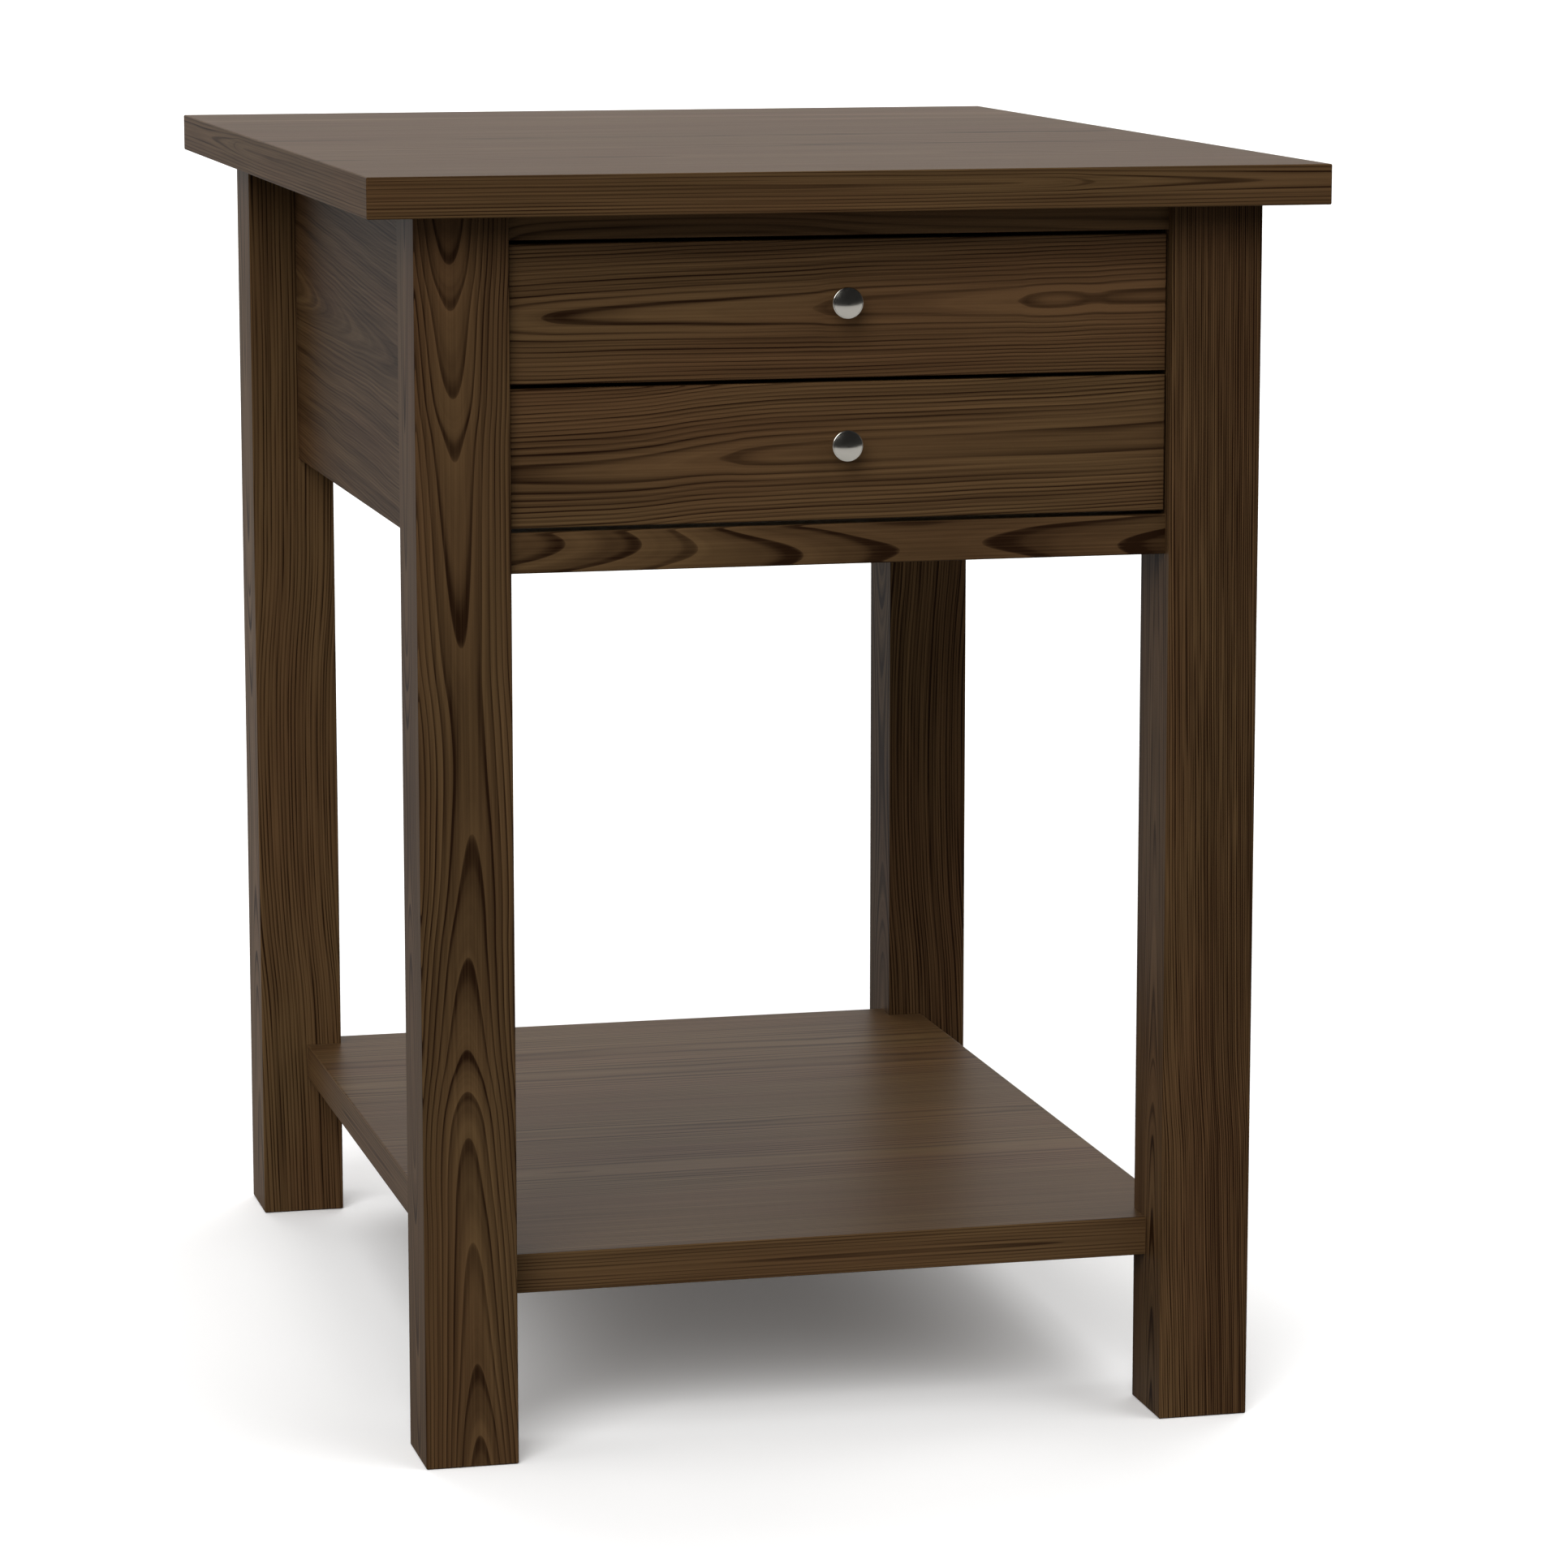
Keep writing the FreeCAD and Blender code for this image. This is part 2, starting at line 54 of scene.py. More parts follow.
nodes = frame["nodes"]

# %% [markdown]
# ## Small tools
# Colours are easiest to pick as the hex values of a colour picker, but shaders calculate with linear light,
# so one function turns one into the other. A second one adds a node, sets it up and links it, which keeps
# each material readable as a list of steps. It also fills in the points of a curve node. A third starts a
# material with the place on the piece in millimetres. The last two hang a finish on pieces of the frame and
# measure a piece.

# %% Tools
MM = 0.001
AXES = {"X": 0, "Y": 1, "Z": 2}


def hex_colour(text):
    """The linear colour of an sRGB hex value."""
    parts = [int(text[i:i + 2], 16) / 255 for i in (1, 3, 5)]
    return tuple(p / 12.92 if p <= 0.04045 else ((p + 0.055) / 1.055) ** 2.4 for p in parts) + (1.0,)


def add(tree, kind, inputs, points=(), **settings):
    """Adds a node, sets it up and feeds its inputs with values or with other nodes' outputs."""
    node = tree.nodes.new("ShaderNode" + kind)
    for name, value in settings.items():
        setattr(node, name, value)
    for socket, value in inputs.items():
        if isinstance(value, bpy.types.NodeSocket):
            tree.links.new(value, node.inputs[socket])
        else:
            node.inputs[socket].default_value = value
    if points:
        curve = node.mapping.curves[0]
        for place in points[1:-1]:
            curve.points.new(*place)
        curve.points[0].location = points[0]
        curve.points[-1].location = points[-1]
        node.mapping.update()
    return node


def new_material(name):
    """An empty material: its node tree, its shader, and the place on the object in millimetres."""
    material = bpy.data.materials.new(name)
    material.use_nodes = True
    tree = material.node_tree
    shader = tree.nodes["Principled BSDF"]
    place = add(tree, "TexCoord", {})
    in_mm = add(tree, "VectorMath", {0: place.outputs["Object"], 3: 1 / MM}, operation="SCALE")
    return material, tree, shader, in_mm.outputs[0]


def dress(material, *names):
    """Gives pieces of the frame their finish."""
    for name in names:
        for slot in nodes[name].material_slots:
            slot.material = material
    print(material.name, "->", ", ".join(names))


def corners(name):
    """The lowest and highest corner of a piece, in millimetres."""
    low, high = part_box(name)
    return low / MM, high / MM


# %% [markdown]
# ## Sawn wood
# Wood grows a pale, soft layer in spring that turns slowly darker until autumn and then stops at a sharp
# edge. A board is a slice through those rings, so the arches on its face are where the cut runs nearly along
# a ring. A flat picture of grain would break at every edge of a board. Here the rings are computed in space
# instead: each point's distance from the heart of the tree, divided by the ring width. Where the heart comes
# nearer to the face or goes deeper along the board, the arches appear by themselves, and the edges show the
# matching lines.

# %% Where the heart of the tree lies
def traced(tree, position, points):
    """A smooth line through (position, value) points, as a value that follows the position."""
    starts = [p[0] for p in points]
    values = [p[1] for p in points]
    # A hair of a range is left where the line is straight, because a curve node needs one.
    hair = 0.001
    low, high = min(values), max(values) + hair
    share = add(tree, "MapRange", {0: position, 1: starts[0], 2: starts[-1]})
    scaled = [((s - starts[0]) / (starts[-1] - starts[0]), (v - low) / (high - low)) for s, v in points]
    curve = add(tree, "FloatCurve", {"Value": share.outputs[0]}, points=scaled)
    return add(tree, "MapRange", {0: curve.outputs[0], 3: low, 4: high}).outputs[0]


def heart_from_tips(face, side, ring, tips):
    """How deep the heart lies behind a face on which the rings show their tips at these places."""
    return [(place, face + side * ring * number) for place, number in tips]


# %% [markdown]
# The trunk is never straight, so the rings sway by a few millimetres over a hand's length. Rings near a
# branch or a bend are squarer than circles, which makes the tips of the arches blunt. A seed gives every
# board its own part of each noise.

# %% Distance from the heart
SEED_STEPS = (17.3, 31.7, 53.9)
SWAY_LENGTH, SWAY_WIDTH = 130, 32
NOISE_MIDDLE = (0.5, 0.5, 0.5)


def stretched(tree, in_mm, along, long_mm, short_mm, seed):
    """Coordinates for a noise that is long_mm along the grain and short_mm across it."""
    scale = [1 / short_mm] * 3
    scale[AXES[along]] = 1 / long_mm
    shift = [seed * step for step in SEED_STEPS]
    return add(tree, "Mapping", {"Vector": in_mm, "Scale": scale, "Location": shift}).outputs[0]


def heart_distance(tree, in_mm, along, hearts, sway, squareness, seed):
    """How far each point lies from the heart, in millimetres.

    hearts holds the two axes across the grain, each with the line of the heart on it.
    """
    axes = add(tree, "SeparateXYZ", {0: in_mm}).outputs
    place = stretched(tree, in_mm, along, SWAY_LENGTH, SWAY_WIDTH, seed)
    swaying = add(tree, "TexNoise", {"Vector": place, "Scale": 1, "Detail": 2}).outputs["Color"]
    swing = add(tree, "VectorMath", {0: swaying, 1: NOISE_MIDDLE}, operation="SUBTRACT").outputs[0]
    reach = (2 * sway[0], 2 * sway[1], 0)
    swing = add(tree, "VectorMath", {0: swing, 1: reach}, operation="MULTIPLY").outputs[0]
    swings = add(tree, "SeparateXYZ", {0: swing}).outputs
    powers = []
    for (axis, heart), swung in zip(hearts, swings):
        heart_place = traced(tree, axes[AXES[along]], heart)
        offset = add(tree, "Math", {0: axes[AXES[axis]], 1: heart_place}, operation="SUBTRACT").outputs[0]
        offset = add(tree, "Math", {0: offset, 1: swung}, operation="ADD").outputs[0]
        size = add(tree, "Math", {0: offset}, operation="ABSOLUTE").outputs[0]
        powers.append(add(tree, "Math", {0: size, 1: squareness}, operation="POWER").outputs[0])
    both = add(tree, "Math", {0: powers[0], 1: powers[1]}, operation="ADD").outputs[0]
    return add(tree, "Math", {0: both, 1: 1 / squareness}, operation="POWER").outputs[0]


# %% [markdown]
# A wide panel is glued up from staves, because a single board that wide would cup. Each stave comes from
# another place in the trunk: one random colour per stave moves its rings along, sideways and deeper. The
# first stave's place is given, because the front edge of the panel shows its rings. A strip of veneer
# covers the ends of the staves, so the lines run along the edge there too.

# %% Staves and veneer of a panel
STAVE_SEED_STEP = 3.7
# How far the rings of one stave may lie from those of the next, along the grain and in depth, and what share
# of the stave's width across it.
STAVE_ALONG, STAVE_DEEPER, STAVE_SIDEWAYS = 900.0, 50.0, 0.7


def glued_up(tree, in_mm, first_edge, stave, first_shift, seed):
    """The place inside each stave, with the grain along X and the staves side by side along Y."""
    along_y = add(tree, "SeparateXYZ", {0: in_mm}).outputs["Y"]
    edge = add(tree, "Math", {0: along_y, 1: first_edge}, operation="SUBTRACT").outputs[0]
    counted = add(tree, "Math", {0: edge, 1: stave}, operation="DIVIDE").outputs[0]
    number = add(tree, "Math", {0: counted}, operation="FLOOR").outputs[0]
    tag = add(tree, "Math", {0: number, 1: seed * STAVE_SEED_STEP}, operation="ADD").outputs[0]
    chance = add(tree, "TexWhiteNoise", {"W": tag}, noise_dimensions="1D").outputs["Color"]
    chance = add(tree, "VectorMath", {0: chance, 1: NOISE_MIDDLE}, operation="SUBTRACT").outputs[0]
    room = (STAVE_ALONG, STAVE_SIDEWAYS * stave, STAVE_DEEPER)
    moved = add(tree, "VectorMath", {0: chance, 1: room}, operation="MULTIPLY").outputs[0]
    later = add(tree, "Math", {0: number, 1: 0.5}, operation="GREATER_THAN").outputs[0]
    moved = add(tree, "Mix", {0: later, 4: first_shift, 5: moved}, data_type="VECTOR").outputs[1]
    middle = add(tree, "Math", {0: number, 1: -stave, 2: -first_edge - stave / 2}, operation="MULTIPLY_ADD")
    centred = add(tree, "CombineXYZ", {"Y": middle.outputs[0]}).outputs[0]
    local = add(tree, "VectorMath", {0: in_mm, 1: centred}, operation="ADD").outputs[0]
    return add(tree, "VectorMath", {0: local, 1: moved}, operation="ADD").outputs[0]


def veneered(tree, in_mm, on_end, front_edge):
    """Covers the ends with veneer: its grain runs along the edge and is cut from the front stave."""
    axes = add(tree, "SeparateXYZ", {0: in_mm}).outputs
    strip = add(tree, "CombineXYZ", {"X": axes["Y"], "Y": front_edge, "Z": axes["Z"]}).outputs[0]
    return add(tree, "Mix", {0: on_end, 4: in_mm, 5: strip}, data_type="VECTOR").outputs[1]


# %% [markdown]
# The rings themselves. A curve gives the darkness through one year: slow growth ends in a sharp edge, fast
# growth in a soft or a thin line. Good years draw strong lines and poor years faint ones. Streaks and bands
# follow the rings and come and go along the board, and fine fibres run straight. All of these add up to one
# darkness.

# %% Darkness of the rings
SHARP_YEAR = [(0, 0), (0.35, 0.12), (0.7, 0.4), (0.93, 0.9), (1, 0)]
SOFT_YEAR = [(0, 0.4), (0.16, 0.05), (0.5, 0.16), (0.78, 0.7), (0.9, 1), (1, 0.4)]
THIN_YEAR = [(0, 0.3), (0.1, 0), (0.66, 0.12), (0.88, 1), (1, 0.3)]
SPRING_DARKNESS = 0.27
STRONGEST_LINE = 1.1
# Ring widths change over about three years, and an unevenness of 1 would move a ring by up to four.
YEARS_CHANGE = 0.37
WIDEST_CHANGE = 4
# Features to a year, length along the board in millimetres and detail of the noises that follow the rings.
# A step of 7.3 makes each year independent of the one before.
YEAR_TO_YEAR = 7.3
STREAKS = (2.3, 150, 4)
BANDS = (0.4, 260, 1)
RING_SEED_STEP = 5.3
# Fibres are 0.9 mm across here, coarser than real ones, so that they show from a step away.
FIBRE_LENGTH, FIBRE_WIDTH, FIBRE_WEIGHT = 90, 0.9, 0.3
FIBRE_SEED_SHIFT = 3
# From 25 mm off the heart the wood is younger and can take more stain, the most of it from 50 mm on.
OUTER_START, OUTER_FULL = 25, 50
# A noise seldom leaves the middle of its range, so the middle is spread over the whole.
YEAR_LOW, YEAR_HIGH = 0.3, 0.7
STREAK_LOW, STREAK_HIGH = 0.25, 0.75


def following(tree, run, steps, seed, per_step, long_mm, detail):
    """A noise that follows the rings, with so many features per step, and changes along the board."""
    run_share = add(tree, "Math", {0: run, 1: 1 / long_mm}, operation="MULTIPLY").outputs[0]
    scaled = add(tree, "Math", {0: steps, 1: per_step}, operation="MULTIPLY").outputs[0]
    place = add(tree, "CombineXYZ", {0: run_share, 1: scaled, 2: seed * RING_SEED_STEP}).outputs[0]
    return add(tree, "TexNoise", {"Vector": place, "Scale": 1, "Detail": detail}).outputs[0]


def ring_lines(tree, run, rings, seed, uneven, year_shape, faint, fade):
    """How dark the line of each year is: 0 in the spring wood, about 1 at the end of a good year."""
    widths = add(tree, "TexNoise", {"W": rings, "Scale": YEARS_CHANGE, "Detail": 1}, noise_dimensions="1D")
    shift = {0: widths.outputs[0], 1: uneven * WIDEST_CHANGE, 2: rings}
    count = add(tree, "Math", shift, operation="MULTIPLY_ADD").outputs[0]
    season = add(tree, "Math", {0: count}, operation="FRACT").outputs[0]
    year = add(tree, "Math", {0: count}, operation="FLOOR").outputs[0]
    darkening = add(tree, "FloatCurve", {"Value": season}, points=year_shape).outputs[0]
    good_years = following(tree, run, year, seed, YEAR_TO_YEAR, fade, 1)
    spread = {0: good_years, 1: YEAR_LOW, 2: YEAR_HIGH, 3: faint, 4: STRONGEST_LINE}
    strength = add(tree, "MapRange", spread).outputs[0]
    return add(tree, "Math", {0: darkening, 1: strength}, operation="MULTIPLY").outputs[0]


# %% [markdown]
# Each kind of wood is three colours: the spring wood, a slightly redder spring wood that comes in patches,
# and the autumn wood that draws the lines. A satin lacquer lies over it. It fills the pores only partly, so
# the dark lines stay a little rougher and lower.

# %% Stain and lacquer
PATCH_LENGTH, PATCH_WIDTH = 220, 45
PATCH_LOW, PATCH_HIGH = 0.35, 0.65
PATCH_SEED_SHIFT = 7
LACQUER_IOR = 1.5
SMOOTH_SPRING, ROUGH_AUTUMN = 0.38, 0.46
PORE_DEPTH = 0.05 * MM


def lacquered(tree, shader, in_mm, along, dark, colours, sheen, seed):
    """Colours the wood by its darkness and gives it the surface of a satin lacquer."""
    spring, spring_red, autumn = (hex_colour(c) for c in colours)
    place = stretched(tree, in_mm, along, PATCH_LENGTH, PATCH_WIDTH, seed + PATCH_SEED_SHIFT)
    patches = add(tree, "TexNoise", {"Vector": place, "Scale": 1}).outputs[0]
    patch = add(tree, "MapRange", {0: patches, 1: PATCH_LOW, 2: PATCH_HIGH}).outputs[0]
    pale = add(tree, "Mix", {0: patch, 6: spring, 7: spring_red}, data_type="RGBA").outputs[2]
    colour = add(tree, "Mix", {0: dark, 6: pale, 7: autumn}, data_type="RGBA").outputs[2]
    gloss = add(tree, "MapRange", {0: dark, 3: SMOOTH_SPRING, 4: ROUGH_AUTUMN}).outputs[0]
    pores = add(tree, "Bump", {"Height": dark, "Strength": 0.25, "Distance": PORE_DEPTH}, invert=True)
    tree.links.new(colour, shader.inputs["Base Color"])
    tree.links.new(gloss, shader.inputs["Roughness"])
    tree.links.new(pores.outputs[0], shader.inputs["Normal"])
    shader.inputs["IOR"].default_value = LACQUER_IOR
    shader.inputs["Specular IOR Level"].default_value = sheen


# %% [markdown]
# One function puts a board together. The cut ends of the fibres drink more stain than the faces do, so the
# faces that look along the board are found by their direction and darkened.

# %% A sawn board
# How much of a face's direction lies along the board where an end begins, and where it is a full end.
END_START, END_FULL = 0.7, 0.9


def sawn_wood(name, colours, along, across, depth, heart_line, heart_depth, ring=1.6, uneven=0.3,
              sway=(2.4, 0.6), squareness=2.0, year_shape=SOFT_YEAR, line=0.72, faint=0.35, fade=170,
              streaky=0.6, banded=0.3, outer=0.0, end_grain=0.3, tone=0.0, contrast=1.0, sheen=0.031,
              staves=None, veneer_edge=None, seed=1):
    """Wood with its growth rings running through it.

    along, across and depth name the axes of the board. heart_line and heart_depth give the place of the
    tree's heart on the last two, as (place along the board, place) points in millimetres. ring is the width
    of a year and uneven how much it varies. sway is how far the rings wander across the board and in depth.
    A squareness of 2 makes round rings. year_shape is the curve of the darkness through a year, line the
    darkness of its line, faint the line's share in a poor year, and fade the length over which it comes and
    goes. streaky, banded, outer and end_grain are the weights of the streaks, bands, outer wood and ends.
    tone darkens the whole board, contrast scales it, and sheen is the gloss of the lacquer. staves and
    veneer_edge are for a panel: what glued_up and veneered have to know. seed picks the noises.
    """
    material, tree, shader, in_mm = new_material(name)
    facing = add(tree, "TexCoord", {}).outputs["Normal"]
    end_on = add(tree, "SeparateXYZ", {0: facing}).outputs[AXES[along]]
    end_on = add(tree, "Math", {0: end_on}, operation="ABSOLUTE").outputs[0]
    on_end = add(tree, "MapRange", {0: end_on, 1: END_START, 2: END_FULL}).outputs[0]
    if veneer_edge is not None:
        in_mm = veneered(tree, in_mm, on_end, veneer_edge)
    if staves:
        in_mm = glued_up(tree, in_mm, *staves, seed)

    run = add(tree, "SeparateXYZ", {0: in_mm}).outputs[AXES[along]]
    hearts = ((across, heart_line), (depth, heart_depth))
    distance = heart_distance(tree, in_mm, along, hearts, sway, squareness, seed)
    rings = add(tree, "Math", {0: distance, 1: ring}, operation="DIVIDE").outputs[0]
    late = ring_lines(tree, run, rings, seed, uneven, year_shape, faint, fade)
    drawn = {0: late, 1: line, 2: SPRING_DARKNESS + tone}
    dark = add(tree, "Math", drawn, operation="MULTIPLY_ADD").outputs[0]
    fibre_place = stretched(tree, in_mm, along, FIBRE_LENGTH, FIBRE_WIDTH, seed + FIBRE_SEED_SHIFT)
    fibre = add(tree, "TexNoise", {"Vector": fibre_place, "Scale": 1, "Detail": 2}).outputs[0]
    streaks = following(tree, run, rings, seed, *STREAKS)
    bands = following(tree, run, rings, seed, *BANDS)
    for streak, weight in ((fibre, FIBRE_WEIGHT), (streaks, streaky), (bands, banded)):
        spread = {0: streak, 1: STREAK_LOW, 2: STREAK_HIGH, 3: -weight / 2, 4: weight / 2}
        share = add(tree, "MapRange", spread).outputs[0]
        dark = add(tree, "Math", {0: dark, 1: share}, operation="ADD").outputs[0]
    outside = add(tree, "MapRange", {0: distance, 1: OUTER_START, 2: OUTER_FULL, 3: 0, 4: outer}).outputs[0]
    dark = add(tree, "Math", {0: dark, 1: outside}, operation="ADD").outputs[0]
    dark = add(tree, "Math", {0: on_end, 1: end_grain, 2: dark}, operation="MULTIPLY_ADD").outputs[0]
    dark = add(tree, "Math", {0: dark, 1: contrast}, operation="MULTIPLY", use_clamp=True).outputs[0]
    lacquered(tree, shader, in_mm, along, dark, colours, sheen, seed)
    return material


# %% [markdown]
# ## Legs in stained pine
# The table is pine under a dark walnut stain and a satin lacquer: the stain sinks into the spring wood and
# leaves a warm brown between nearly black lines. Each leg is sawn from another place in a trunk. The front
# left one is cut close to the heart, so its front face carries bold arches that point down in its upper
# half and up below. The tips are the heights at which each ring shows its tip, with the ring's number
# counted from the heart, and the middles are where the arches stand across the face.

# %% Front left leg
STAINED_PINE = ("#5b462d", "#59412a", "#1f1107")
leg_foot, leg_head = 0, corners("leg_front_left")[1].z
arch_ring = 1.38
arch_tips = [
    (leg_foot, 13.6), (15, 14), (49, 15), (108, 16), (160, 17), (182, 18), (202, 19), (244, 20), (303, 21),
    (350, 21.4), (393, 21), (479, 20), (507, 19), (547, 18), (568, 17), (leg_head, 16.2),
]
arch_middles = [
    (leg_foot, -177), (49, -178.3), (108, -179.8), (160, -181.8), (202, -182), (244, -181), (303, -178.8),
    (393, -183), (479, -185), (leg_head, -187),
]
leg_front = corners("leg_front_left")[0].y
dress(sawn_wood(
    "stained_pine_leg_front_left", STAINED_PINE, "Z", "X", "Y", arch_middles,
    heart_from_tips(leg_front, 1, arch_ring, arch_tips), arch_ring, uneven=0, sway=(0.6, 0.15),
    squareness=2.1, year_shape=SHARP_YEAR, line=0.68, faint=0.75, streaky=0.35, tone=0.06, seed=1,
), "leg_front_left")

# %% [markdown]
# The other legs are cut so that the rings cross the front face in fine lines, which fade in and out over a
# few finger widths. The front right one shows a row of small arches low on its inner face. In the back legs
# the trunk bends a little to one side, and the lines bend with it.

# %% Other legs
fine_ring = 1.05
inner_tips = [
    (leg_foot, 17), (45, 18), (77, 19), (132, 20), (150, 21), (166, 22), (190, 23), (260, 24), (leg_head, 26),
]
leg_inside = corners("leg_front_right")[0].x
dress(sawn_wood(
    "stained_pine_leg_front_right", STAINED_PINE, "Z", "Y", "X", [(leg_foot, -266), (leg_head, -258)],
    heart_from_tips(leg_inside, -1, fine_ring, inner_tips), fine_ring, sway=(1.6, 0.5), line=1.1, faint=0.1,
    fade=50, streaky=0.75, banded=0.12, outer=0.3, tone=-0.1, seed=2,
), "leg_front_right")

# For each back leg, its tone and the darkness of its lines.
back_legs = {"leg_back_left": (-0.19, 1.0), "leg_back_right": (0.14, 0.75)}
# How far the heart lies behind the leg's front face and to the left of the leg, by height.
back_lean = [(leg_foot, 12), (leg_head, 26)]
back_bend = [(leg_foot, 29), (110, 32), (240, 38), (380, 31), (leg_head, 28)]
for seed, (name, (tone, line)) in enumerate(back_legs.items(), start=3):
    low = corners(name)[0]
    dress(sawn_wood(
        "stained_pine_" + name, STAINED_PINE, "Z", "Y", "X",
        [(height, low.y + behind) for height, behind in back_lean],
        [(height, low.x - beside) for height, beside in back_bend], ring=1.9, sway=(2.6, 0.8), line=line,
        faint=0.3, fade=60, streaky=0.72, tone=tone, seed=seed,
    ), name)

# %% [markdown]
# ## Drawer fronts
# Flat sawn boards with the heart a finger's width behind the middle. Where the heart comes slowly nearer to
# the face, each ring in turn opens in a long spear, and the rings crowd towards both edges. On the upper
# front a small spear opens at the right as well. On the lower one the heart climbs from left to right, which
# draws the lines in a flat S.

# %% Wood of the drawer fronts
board_ring = 1.6
low, high = corners("upper_drawer_front")
left, right, front = low.x, high.x, low.y
upper_tips = [
    (left, 11.3), (-143, 11), (-132, 10.8), (-108, 10.6), (-50, 10.27), (-14, 10), (-4, 9.75), (40, 9.45),
    (72, 9.12), (85, 9), (93, 8.76), (104, 8.66), (114, 8.74), (123, 8.86), (132, 8.76), (right, 8.68),
]
dress(sawn_wood(
    "stained_pine_upper_front", STAINED_PINE, "X", "Z", "Y", [(left, 542), (right, 547)],
    heart_from_tips(front, 1, board_ring, upper_tips), board_ring, uneven=0, sway=(1.6, 0.04),
    year_shape=THIN_YEAR, line=0.57, faint=0.55, streaky=0.55, tone=0.02, seed=5,
), "upper_drawer_front")
lower_climb = [(left, 470), (-110, 471), (-50, 476), (60, 478), (right, 481)]
lower_tips = [(left, 11.7), (-57, 11), (-45, 10.75), (-20, 10.52), (60, 10.35), (right, 10.15)]
dress(sawn_wood(
    "stained_pine_lower_front", STAINED_PINE, "X", "Z", "Y", lower_climb,
    heart_from_tips(front, 1, board_ring, lower_tips), board_ring, uneven=0, sway=(1.8, 0.15), line=0.65,
    faint=0.5, streaky=0.45, tone=-0.02, seed=6,
), "lower_drawer_front")

# %% [markdown]
# ## Rails and aprons
# Long narrow boards with the grain along them. The lower rail's heart is deep, so its few rings cut the face
# in broad lobes, whose tips wander from the upper edge to the lower one. The side aprons show nested arches
# that point to the front.

# %% Wood of the rails
low, high = corners("lower_front_rail")
left, right = low.x, high.x
lobe_tips = [
    (left, 30.4), (-132, 31), (-96, 32), (-69, 33), (-18, 34), (28, 35), (48, 35.15), (68, 35), (134, 34),
    (right, 33.6),
]
lobe_heights = [
    (left, 438), (-132, 437.5), (-96, 436.5), (-69, 433.5), (-18, 429), (28, 429.4), (68, 432), (134, 428.5),
    (right, 428),
]
dress(sawn_wood(
    "stained_pine_lower_rail", STAINED_PINE, "X", "Z", "Y", lobe_heights,
    heart_from_tips(front, 1, board_ring, lobe_tips), board_ring, uneven=0, sway=(1.2, 0.1),
    year_shape=SHARP_YEAR, line=0.66, faint=0.95, streaky=0.3, tone=0.13, seed=7,
), "lower_front_rail")
upper_rail_tips = [(left, 19.4), (-60, 18.4), (20, 19.2), (right, 20)]
dress(sawn_wood(
    "stained_pine_upper_rail", STAINED_PINE, "X", "Z", "Y", [(left, 574), (right, 572)],
    heart_from_tips(front, 1, board_ring, upper_rail_tips), board_ring, sway=(1.0, 0.3), line=0.4, seed=8,
), "upper_front_rail")

# %% Wood of the aprons
left_apron, right_apron = corners("side_apron_left"), corners("side_apron_right")
front, back = left_apron[0].y, left_apron[1].y
apron_tips = [(front, 18.3), (-187, 18), (-46, 17), (53, 16), (109, 15), (160, 14), (back, 12.5)]
outer_faces = {"side_apron_left": (left_apron[0].x, 1), "side_apron_right": (right_apron[1].x, -1)}
for seed, (name, (face, side)) in enumerate(outer_faces.items(), start=9):
    dress(sawn_wood(
        "stained_pine_" + name, STAINED_PINE, "Y", "Z", "X", [(front, 498), (back, 520)],
        heart_from_tips(face, side, board_ring, apron_tips), board_ring, uneven=0, sway=(3.0, 0.4), line=0.35,
        tone=0.25, seed=seed,
    ), name)
low, high = corners("back_apron")
back_tips = [(low.x, 14), (-60, 16), (40, 18), (high.x, 17)]
dress(sawn_wood(
    "stained_pine_back_apron", STAINED_PINE, "X", "Z", "Y", [(low.x, 500), (high.x, 520)],
    heart_from_tips(high.y, -1, board_ring, back_tips), board_ring, seed=11,
), "back_apron")

# %% [markdown]
# ## Top and shelf
# Both are panels of staves a hand wide, glued edge to edge with the grain across the table. The front stave
# is cut with the heart just outside its front edge, so that edge shows long spears: the places where a ring
# leaves the wood as the heart moves away from it. The shelf is lacquered glossier than the top.

# %% Wood of the panels
stave_width = 101.6
heart_below = 35.0
overlap = 0.5
# For each panel: the height of the heart at the front edge, the sheen, the tone, and how far in front of the
# edge the heart lies along it.
panels = {
    "table_top": (602.8, 0.02, 0.1, [
        (-228, 0.9), (-100, 1.1), (0, 1.3), (82, 1.6), (115, 3.2), (197, 4.8), (228, 5)]),
    "lower_shelf": (85.0, 0.045, 0.0, [(-178, 1.9), (-56, 1.6), (40, 1.1), (123, 1.6), (178, 2.3)]),
}
for seed, (name, (height, sheen, tone, in_front)) in enumerate(panels.items(), start=12):
    low, high = corners(name)
    count = round((high.y - low.y) / stave_width)
    # The first and last joint lie just outside the panel, so that no edge falls on a joint.
    stave = (high.y - low.y + 2 * overlap) / count
    heart_height = low.z - heart_below
    first_shift = (0, stave / 2 - overlap, heart_height - height)
    dress(sawn_wood(
        "stained_pine_" + name, STAINED_PINE, "X", "Y", "Z", [(x, -gap) for x, gap in in_front],
        [(low.x, heart_height), (high.x, heart_height)], uneven=0, sway=(0.2, 0.9), year_shape=THIN_YEAR,
        line=0.55, streaky=0.45, banded=0.12, end_grain=0, tone=tone, sheen=sheen,
        staves=(low.y - overlap, stave, first_shift), veneer_edge=low.y, seed=seed,
    ), name)

# %% [markdown]
# ## Drawer boxes in poplar
# Inside, where no one looks until a drawer is open, makers use a plain pale wood and only a clear lacquer.
# Poplar has faint rings and a cool cream colour, so the same rings are used with three pale colours. The
# strips that hold the top down are poplar as well.

